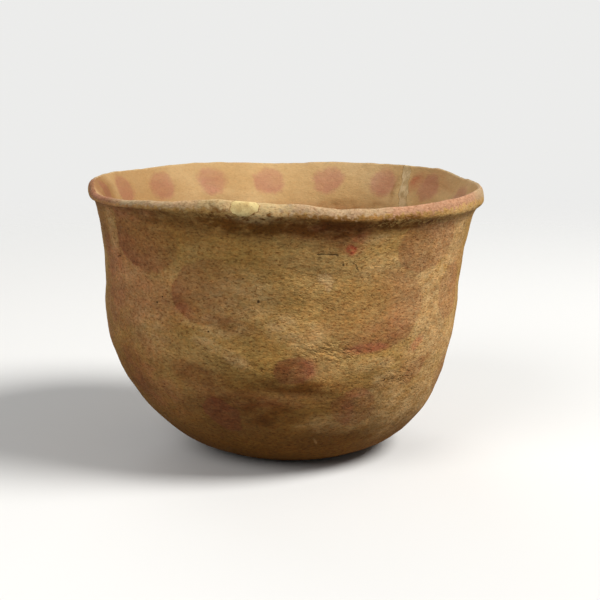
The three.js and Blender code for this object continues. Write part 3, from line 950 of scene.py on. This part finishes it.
def painted_dots(s, slip, inner):
    """Slip with the dusky-red dots painted on it, their edges a little worn."""
    wave = s.swing(s.noise(7, detail=2, seed=5), 4.0)
    crumbs = s.swing(s.noise(1.2, seed=25), 2.0)
    edge = s.math("ADD", s.math("ADD", s.attribute("dot_edge"), wave), crumbs)
    edge = s.times(edge, s.math("SUBTRACT", 1.0, s.times(inner, 0.6)))
    laid = s.ramp(edge, -0.6, 0.4, 1.0, 0.0)
    worn = s.ramp(s.noise(5, (1.6, 1.6, 0.8), detail=4, rough=0.65, seed=6), 0.30, 0.66, 1.0, 0.72)
    strength = s.times(s.times(laid, s.attribute("dot_tone")), worn)
    outer_paint = s.stain(1.0, s.mix(0.45, slip, "worn_paint"), "paint")
    inner_paint = s.stain(1.0, slip, "inner_paint")
    return s.mix(strength, slip, s.mix(inner, outer_paint, inner_paint))


def worn_and_shaded_lip(s, surface):
    """Worn, paler face of the lip, over dirt and painted shade and a crumbling edge beneath it."""
    # Dirt and painted shade under the lip's overhang
    surface = s.stain(broken(s, "grime_and_shade_zone", 4, 19, 0.25, 0.6), surface, "grime_and_shade")
    crumbs = s.ramp(s.noise(1.1, (1.3, 1.3, 1), rough=0.6, seed=26), 0.47, 0.56)
    surface = s.mix(s.times(crumbs, broken(s, "crumbling_zone", 3, 29)), surface, "crumbs")
    pale = s.mix(s.attribute("lip_pale_zone"), "lip", "pale_lip")
    mottle = s.ramp(s.noise(9, rough=0.6, seed=7), 0.42, 0.62, 0.0, 0.35)
    peach = s.math("ADD", s.attribute("peach_zone"), mottle, clamp=True)
    # Dull stretches of the lip face, at its left end painted shade
    face = s.stain(s.attribute("dull_zone"), s.mix(peach, pale, "peach"), "dull")
    grit = s.ramp(s.noise(0.8, (1.4, 1.4, 1), rough=0.7, seed=27), 0.46, 0.66, 0.0, 0.45)
    face = s.stain(grit, face, "lip_grit")
    edge = s.math("ADD", s.attribute("lip_face"), s.swing(s.noise(1.6, detail=4, seed=28), 1.6))
    return s.mix(s.times(s.ramp(edge, 0.42, 0.80), 0.95), surface, face)


def smeared_filler(s, surface):
    patchy = s.ramp(s.noise(2.2, rough=0.6, seed=55), 0.36, 0.54)
    return s.mix(s.times(patchy, s.attribute("smear_zone")), surface, "smear")


def small_marks(s, surface, exposed):
    """Scratches, pits, specks and wrinkles, and how deep they are."""
    uneven_edge = s.swing(s.noise(1.4, detail=2, seed=31), 0.3)
    mark = s.ramp(s.math("ADD", s.attribute("mark_edge"), uneven_edge), -0.06, 0.24, 1.0, 0.0)
    surface = s.mix(s.times(mark, 0.85), surface, "mark")
    speck_size = s.ramp(s.noise(9, detail=2, seed=33), 0.45, 0.70, 0.03, 0.10)
    speck = s.ramp(s.math("SUBTRACT", s.cells(3.8, 34), speck_size), -0.03, 0.03, 1.0, 0.0)
    surface = s.mix(s.times(speck, s.times(exposed, 0.4)), surface, "speck")
    pit = s.ramp(s.noise(0.7, (1.8, 1.8, 1), detail=2, rough=0.6, seed=35), 0.32, 0.46, 1.0, 0.0)
    pit = s.times(pit, exposed)
    surface = s.stain(s.times(pit, 0.6), surface, "pit")
    # Wrinkles, darkened in their creases: painted shade
    folds = s.noise(1.3, (3.0, 3.0, 1), rough=0.6, seed=36, fall=24.0)
    wrinkle = s.times(s.ramp(folds, 0.34, 0.62, 1.0, 0.0), broken(s, "wrinkled_zone", 4, 37))
    surface = s.stain(s.times(wrinkle, 0.35), surface, "wrinkle")
    small = s.math("ADD", s.times(mark, 0.7), s.times(pit, 0.2))
    return surface, s.math("ADD", s.times(wrinkle, 0.9), small, clamp=True)


def clay_material(name):
    s = Sheet(name)
    inner = s.attribute("inner_face")
    calm = s.math("MAXIMUM", s.times(inner, 0.8), s.times(s.attribute("lip_face"), 0.5))
    exposed = s.math("SUBTRACT", 1.0, calm)
    surface = painted_dots(s, slip_colour(s, inner), inner)
    surface = smeared_filler(s, worn_and_shaded_lip(s, surface))
    surface, deep = small_marks(s, surface, exposed)
    tone = s.noise(9, (1.7, 1.7, 1), detail=4.5, rough=0.95, seed=3)
    surface = s.vary(surface, tone, s.times(exposed, 1.4))
    sand = s.noise(0.8, (1.8, 1.8, 1), detail=2, rough=0.7, seed=8)
    surface = s.vary(surface, sand, s.times(exposed, 1.2))
    blush = s.ramp(s.noise(1.6, (1.3, 1.3, 1), rough=0.9, seed=44), 0.36, 0.64)
    surface = s.stain(s.times(blush, exposed), surface, "blush")

    unevenness = s.math("SUBTRACT", 1.0, s.times(inner, 0.5))
    grain = s.times(s.noise(0.7, (1.6, 1.6, 1), rough=0.65, seed=1), unevenness)
    lump = s.times(s.noise(2.2, (2.2, 2.2, 1), rough=0.6, seed=41), unevenness)
    lumps = s.bump(lump, 0.32, s.bump(grain, 0.26))
    normal = s.bump(s.math("SUBTRACT", 1.0, deep), 0.42, lumps)
    return s.finish(surface, 0.86, 0.15, normal)


def filler_material(name, pale, dark):
    """Filler of a mend: softly mottled and gritty."""
    s = Sheet(name)
    surface = s.mix(s.ramp(s.noise(3, detail=4, seed=51), 0.36, 0.66), pale, dark)
    grit = s.ramp(s.noise(0.8, rough=0.7, seed=52), 0.58, 0.70, 0.0, 0.6)
    normal = s.bump(s.noise(0.9, detail=4, rough=0.65, seed=53), 0.25)
    return s.finish(s.mix(grit, surface, "filler_grit"), 0.92, 0.2, normal)


def wander(heights, waves):
    """Sideways wander of a crack's edge."""
    return CRACK_WANDER * sum(share * np.sin(heights * pace + phase) for share, pace, phase in waves)


def crack_cutter(margin):
    """Wedge of the crack, leaning and wandering a little, grown on each side by a margin."""
    foot = -CRACK_DEPTH - margin
    heights = np.linspace(foot, CUT_OVERRUN, CRACK_STEPS)
    share = (heights - foot) / -foot
    half = (CRACK_FOOT_WIDTH + (CRACK_TOP_WIDTH - CRACK_FOOT_WIDTH) * share) / 2.0 + margin
    above_foot = np.minimum(heights - foot, half)
    half = np.sqrt(np.maximum(half ** 2 - (half - above_foot) ** 2, CRACK_FOOT_FLAT ** 2))
    left = wander(heights, LEFT_WAVES) - half
    right = wander(heights, RIGHT_WAVES) + half
    outline = np.vstack([np.stack([left, heights], -1)[::-1], np.stack([right, heights], -1)])
    offsets, rises = turned(*outline.T, -CRACK_LEAN)
    verts = []
    for reach in (BELLY_RADIUS - WALL - CUT_OVERRUN, LIP_RADIUS + CUT_OVERRUN):
        for offset, rise in zip(offsets, rises):
            x, y = turned(reach, offset, CRACK_AZIMUTH)
            verts.append(((x - LIP_OFFSET) * MM, y * MM, (CREST_HEIGHT + rise) * MM))
    count = len(outline)
    faces = [tuple(reversed(range(count))), tuple(range(count, 2 * count))]
    for i in range(count):
        j = (i + 1) % count
        faces.append((i, j, count + j, count + i))
    mesh = bpy.data.meshes.new("crack_cutter")
    mesh.from_pydata(verts, [], faces)
    return add_object("crack_cutter", mesh)


def chip_cutter(margin):
    """Rounded hollow of the chip, a little uneven, grown by a margin."""
    bpy.ops.mesh.primitive_uv_sphere_add(segments=40, ring_count=24, radius=1.0)
    tool = bpy.context.object
    tool.name = "chip_cutter"
    unit = np.array([v.co[:] for v in tool.data.vertices])
    uneven = 1.0 + CHIP_UNEVENNESS * lip_noise(unit * CHIP_LUMPS + 5.0)
    local = unit * uneven[:, None] * (np.array(CHIP_HALF) + margin)
    x, y = turned(local[:, 0], local[:, 1], CHIP_AZIMUTH)
    middle_radius = np.array([CREST_RADIUS + LIP_SETBACK / 2.0])
    middle_height = np.array([CREST_HEIGHT - LIP_FACE_HEIGHT / 2.0])
    centre = place(middle_radius, middle_height, np.array([CHIP_AZIMUTH]))[0]
    placed = (np.stack([x, y, local[:, 2]], -1) + centre) * MM
    tool.data.vertices.foreach_set("co", placed.ravel().astype(np.float32))
    tool.data.update()
    return tool


def boolean(piece, tool, operation):
    """Cuts a piece by a tool, or keeps only their shared space."""
    modifier = piece.modifiers.new("cut", "BOOLEAN")
    modifier.operation = operation
    modifier.solver = "MANIFOLD"
    modifier.object = tool
    depsgraph = bpy.context.evaluated_depsgraph_get()
    shaped = bpy.data.meshes.new_from_object(piece.evaluated_get(depsgraph))
    piece.modifiers.remove(modifier)
    shaped.name = piece.data.name
    piece.data = shaped


def copy_piece(piece, name):
    return add_object(name, piece.data.copy())


def join(first, second):
    """Adds the second piece's mesh to the first."""
    with bpy.context.temp_override(active_object=first, selected_editable_objects=[first, second]):
        bpy.ops.object.join()


def declare(piece, node, material):
    shade_as_surface(piece)
    piece.data.materials.clear()
    piece.data.materials.append(material)
    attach(piece, "root")
    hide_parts(node)


def build_fills(top_coil, rim):
    """Cuts the crack and the chip out of the clay, and makes the fills that lie in them."""
    wedge = crack_cutter(0.0)
    fill_top, fill_foot = copy_piece(rim, "crack_fill_body"), copy_piece(top_coil, "crack_fill_foot")
    boolean(fill_top, wedge, "INTERSECT")
    boolean(fill_foot, wedge, "INTERSECT")
    join(fill_top, fill_foot)
    hollow = chip_cutter(0.0)
    chip = copy_piece(rim, "lip_chip_fill_body")
    boolean(chip, hollow, "INTERSECT")
    wide_wedge, wide_hollow = crack_cutter(FILL_GAP), chip_cutter(FILL_GAP)
    boolean(rim, wide_wedge, "DIFFERENCE")
    boolean(rim, wide_hollow, "DIFFERENCE")
    boolean(top_coil, wide_wedge, "DIFFERENCE")
    for tool in (wedge, hollow, wide_wedge, wide_hollow):
        bpy.data.objects.remove(tool)
    declare(fill_top, "crack_fill", filler_material("crack_filler", "buff", "dark_buff"))
    declare(chip, "lip_chip_fill", filler_material("chip_filler", "yellow", "dark_yellow"))


def build_pieces():
    clay = clay_material("clay_slip")
    plans = [("pinched_base", base_section(), False, "base_clay")]
    for i in range(WALL_COILS):
        low = BASE_HEIGHT + COIL_HEIGHT * i
        plans.append((f"wall_coil_{i + 1}", coil_section(low, low + COIL_HEIGHT), True, "wall_clay"))
    plans.append(("rim_coil", rim_section(), True, "lip_clay"))
    pieces = {}
    for node, plan, closed, slot in plans:
        pieces[node] = (ring_mesh(f"{node}_body", plan, closed), slot)
    build_fills(pieces[f"wall_coil_{WALL_COILS}"][0], pieces["rim_coil"][0])
    for node, (piece, slot) in pieces.items():
        declare(piece, node, clay)


# The floor shows pale, throws little light up, and fades into the background far out
FLOOR_RADIUS_M = 2.6
FLOOR_FADE_M = (0.25, 0.9)
FLOOR_SHOWN = (0.80, 0.80, 0.79, 1.0)
FLOOR_THROWN = (0.20, 0.19, 0.18, 1.0)
BACKGROUND = (0.84, 0.84, 0.83, 1.0)


def seen_share(nodes, links):
    """1 for what the camera sees, straight or in a reflection or through glass."""
    rays = nodes.new("ShaderNodeLightPath")
    total = rays.outputs["Is Camera Ray"]
    for kind in ("Is Glossy Ray", "Is Transmission Ray"):
        larger = nodes.new("ShaderNodeMath")
        larger.operation = "MAXIMUM"
        links.new(total, larger.inputs[0])
        links.new(rays.outputs[kind], larger.inputs[1])
        total = larger.outputs[0]
    return total


def build_stage():
    size = {"vertices": 96, "radius": FLOOR_RADIUS_M, "fill_type": "NGON"}
    bpy.ops.mesh.primitive_circle_add(location=(0, 0, 0), **size)
    floor = bpy.context.object
    floor.name = "floor"
    s = Sheet("pale_floor")
    s.finish(s.mix(seen_share(s.nodes, s.links), FLOOR_THROWN, FLOOR_SHOWN), 0.95, 0.1)
    length = s.nodes.new("ShaderNodeVectorMath")
    length.operation = "LENGTH"
    s.links.new(s.where, length.inputs[0])
    s.feed(s.shader.inputs["Alpha"], s.ramp(length.outputs["Value"], *FLOOR_FADE_M, 1.0, 0.0))
    floor.data.materials.append(s.material)


# Lamps: azimuth and elevation they shine from, distance and size in metres, level, tint
LAMPS = {
    "key": (340.0, 47.0, 2.4, 1.1, 1.16, (1.0, 0.985, 0.96)),
    "fill": (232.0, 36.0, 2.4, 1.6, 0.36, (1.0, 1.0, 1.0)),
    "rear": (110.0, 28.0, 2.4, 1.6, 0.26, (1.0, 1.0, 1.0)),
}
WORLD_LEVEL = 0.16
WORLD_TINT = (1.0, 0.99, 0.97, 1.0)


def build_world():
    world = bpy.context.scene.world or bpy.data.worlds.new("studio")
    bpy.context.scene.world = world
    world.use_nodes = True
    nodes, links = world.node_tree.nodes, world.node_tree.links
    nodes.clear()
    output = nodes.new("ShaderNodeOutputWorld")
    soft = nodes.new("ShaderNodeBackground")
    soft.inputs["Color"].default_value = WORLD_TINT
    soft.inputs["Strength"].default_value = WORLD_LEVEL
    shown = nodes.new("ShaderNodeBackground")
    shown.inputs["Color"].default_value = BACKGROUND
    choose = nodes.new("ShaderNodeMixShader")
    links.new(seen_share(nodes, links), choose.inputs["Fac"])
    links.new(soft.outputs[0], choose.inputs[1])
    links.new(shown.outputs[0], choose.inputs[2])
    links.new(choose.outputs[0], output.inputs["Surface"])


def build_lamps():
    for name, (azimuth, elevation, distance, size, level, tint) in LAMPS.items():
        data = bpy.data.lights.new(name, "AREA")
        data.shape = "DISK"
        data.size = size
        # A level of 1 lights a facing surface so that its colour renders as written
        data.energy = level * math.pi ** 2 * distance ** 2
        data.color = tint
        lamp = add_object(name, data)
        turn, rise = math.radians(azimuth), math.radians(elevation)
        lamp.location = (
            distance * math.cos(rise) * math.cos(turn),
            distance * math.cos(rise) * math.sin(turn),
            distance * math.sin(rise),
        )
        lamp.rotation_euler = lamp.location.to_track_quat("Z", "Y").to_euler()


# Camera of the photograph: level side to side, in front of the bowl and a little above
CAMERA_PLACE_MM = (3.4, -540.0, 160.0)
CAMERA_TIP_DEGREES = 10.8
FOCAL_PIXELS = 1411.0
PICTURE_PIXELS = 600.0
SENSOR_MM = 36.0


def build_camera():
    data = bpy.data.cameras.new("camera")
    data.sensor_width = SENSOR_MM
    data.lens = FOCAL_PIXELS / PICTURE_PIXELS * SENSOR_MM
    camera = add_object("camera", data)
    camera.location = [v * MM for v in CAMERA_PLACE_MM]
    camera.rotation_euler = (math.radians(90.0 - CAMERA_TIP_DEGREES), 0.0, 0.0)
    bpy.context.scene.camera = camera


build_camera()
build_pieces()
build_stage()
build_world()
build_lamps()
bpy.context.scene.view_settings.view_transform = "Standard"
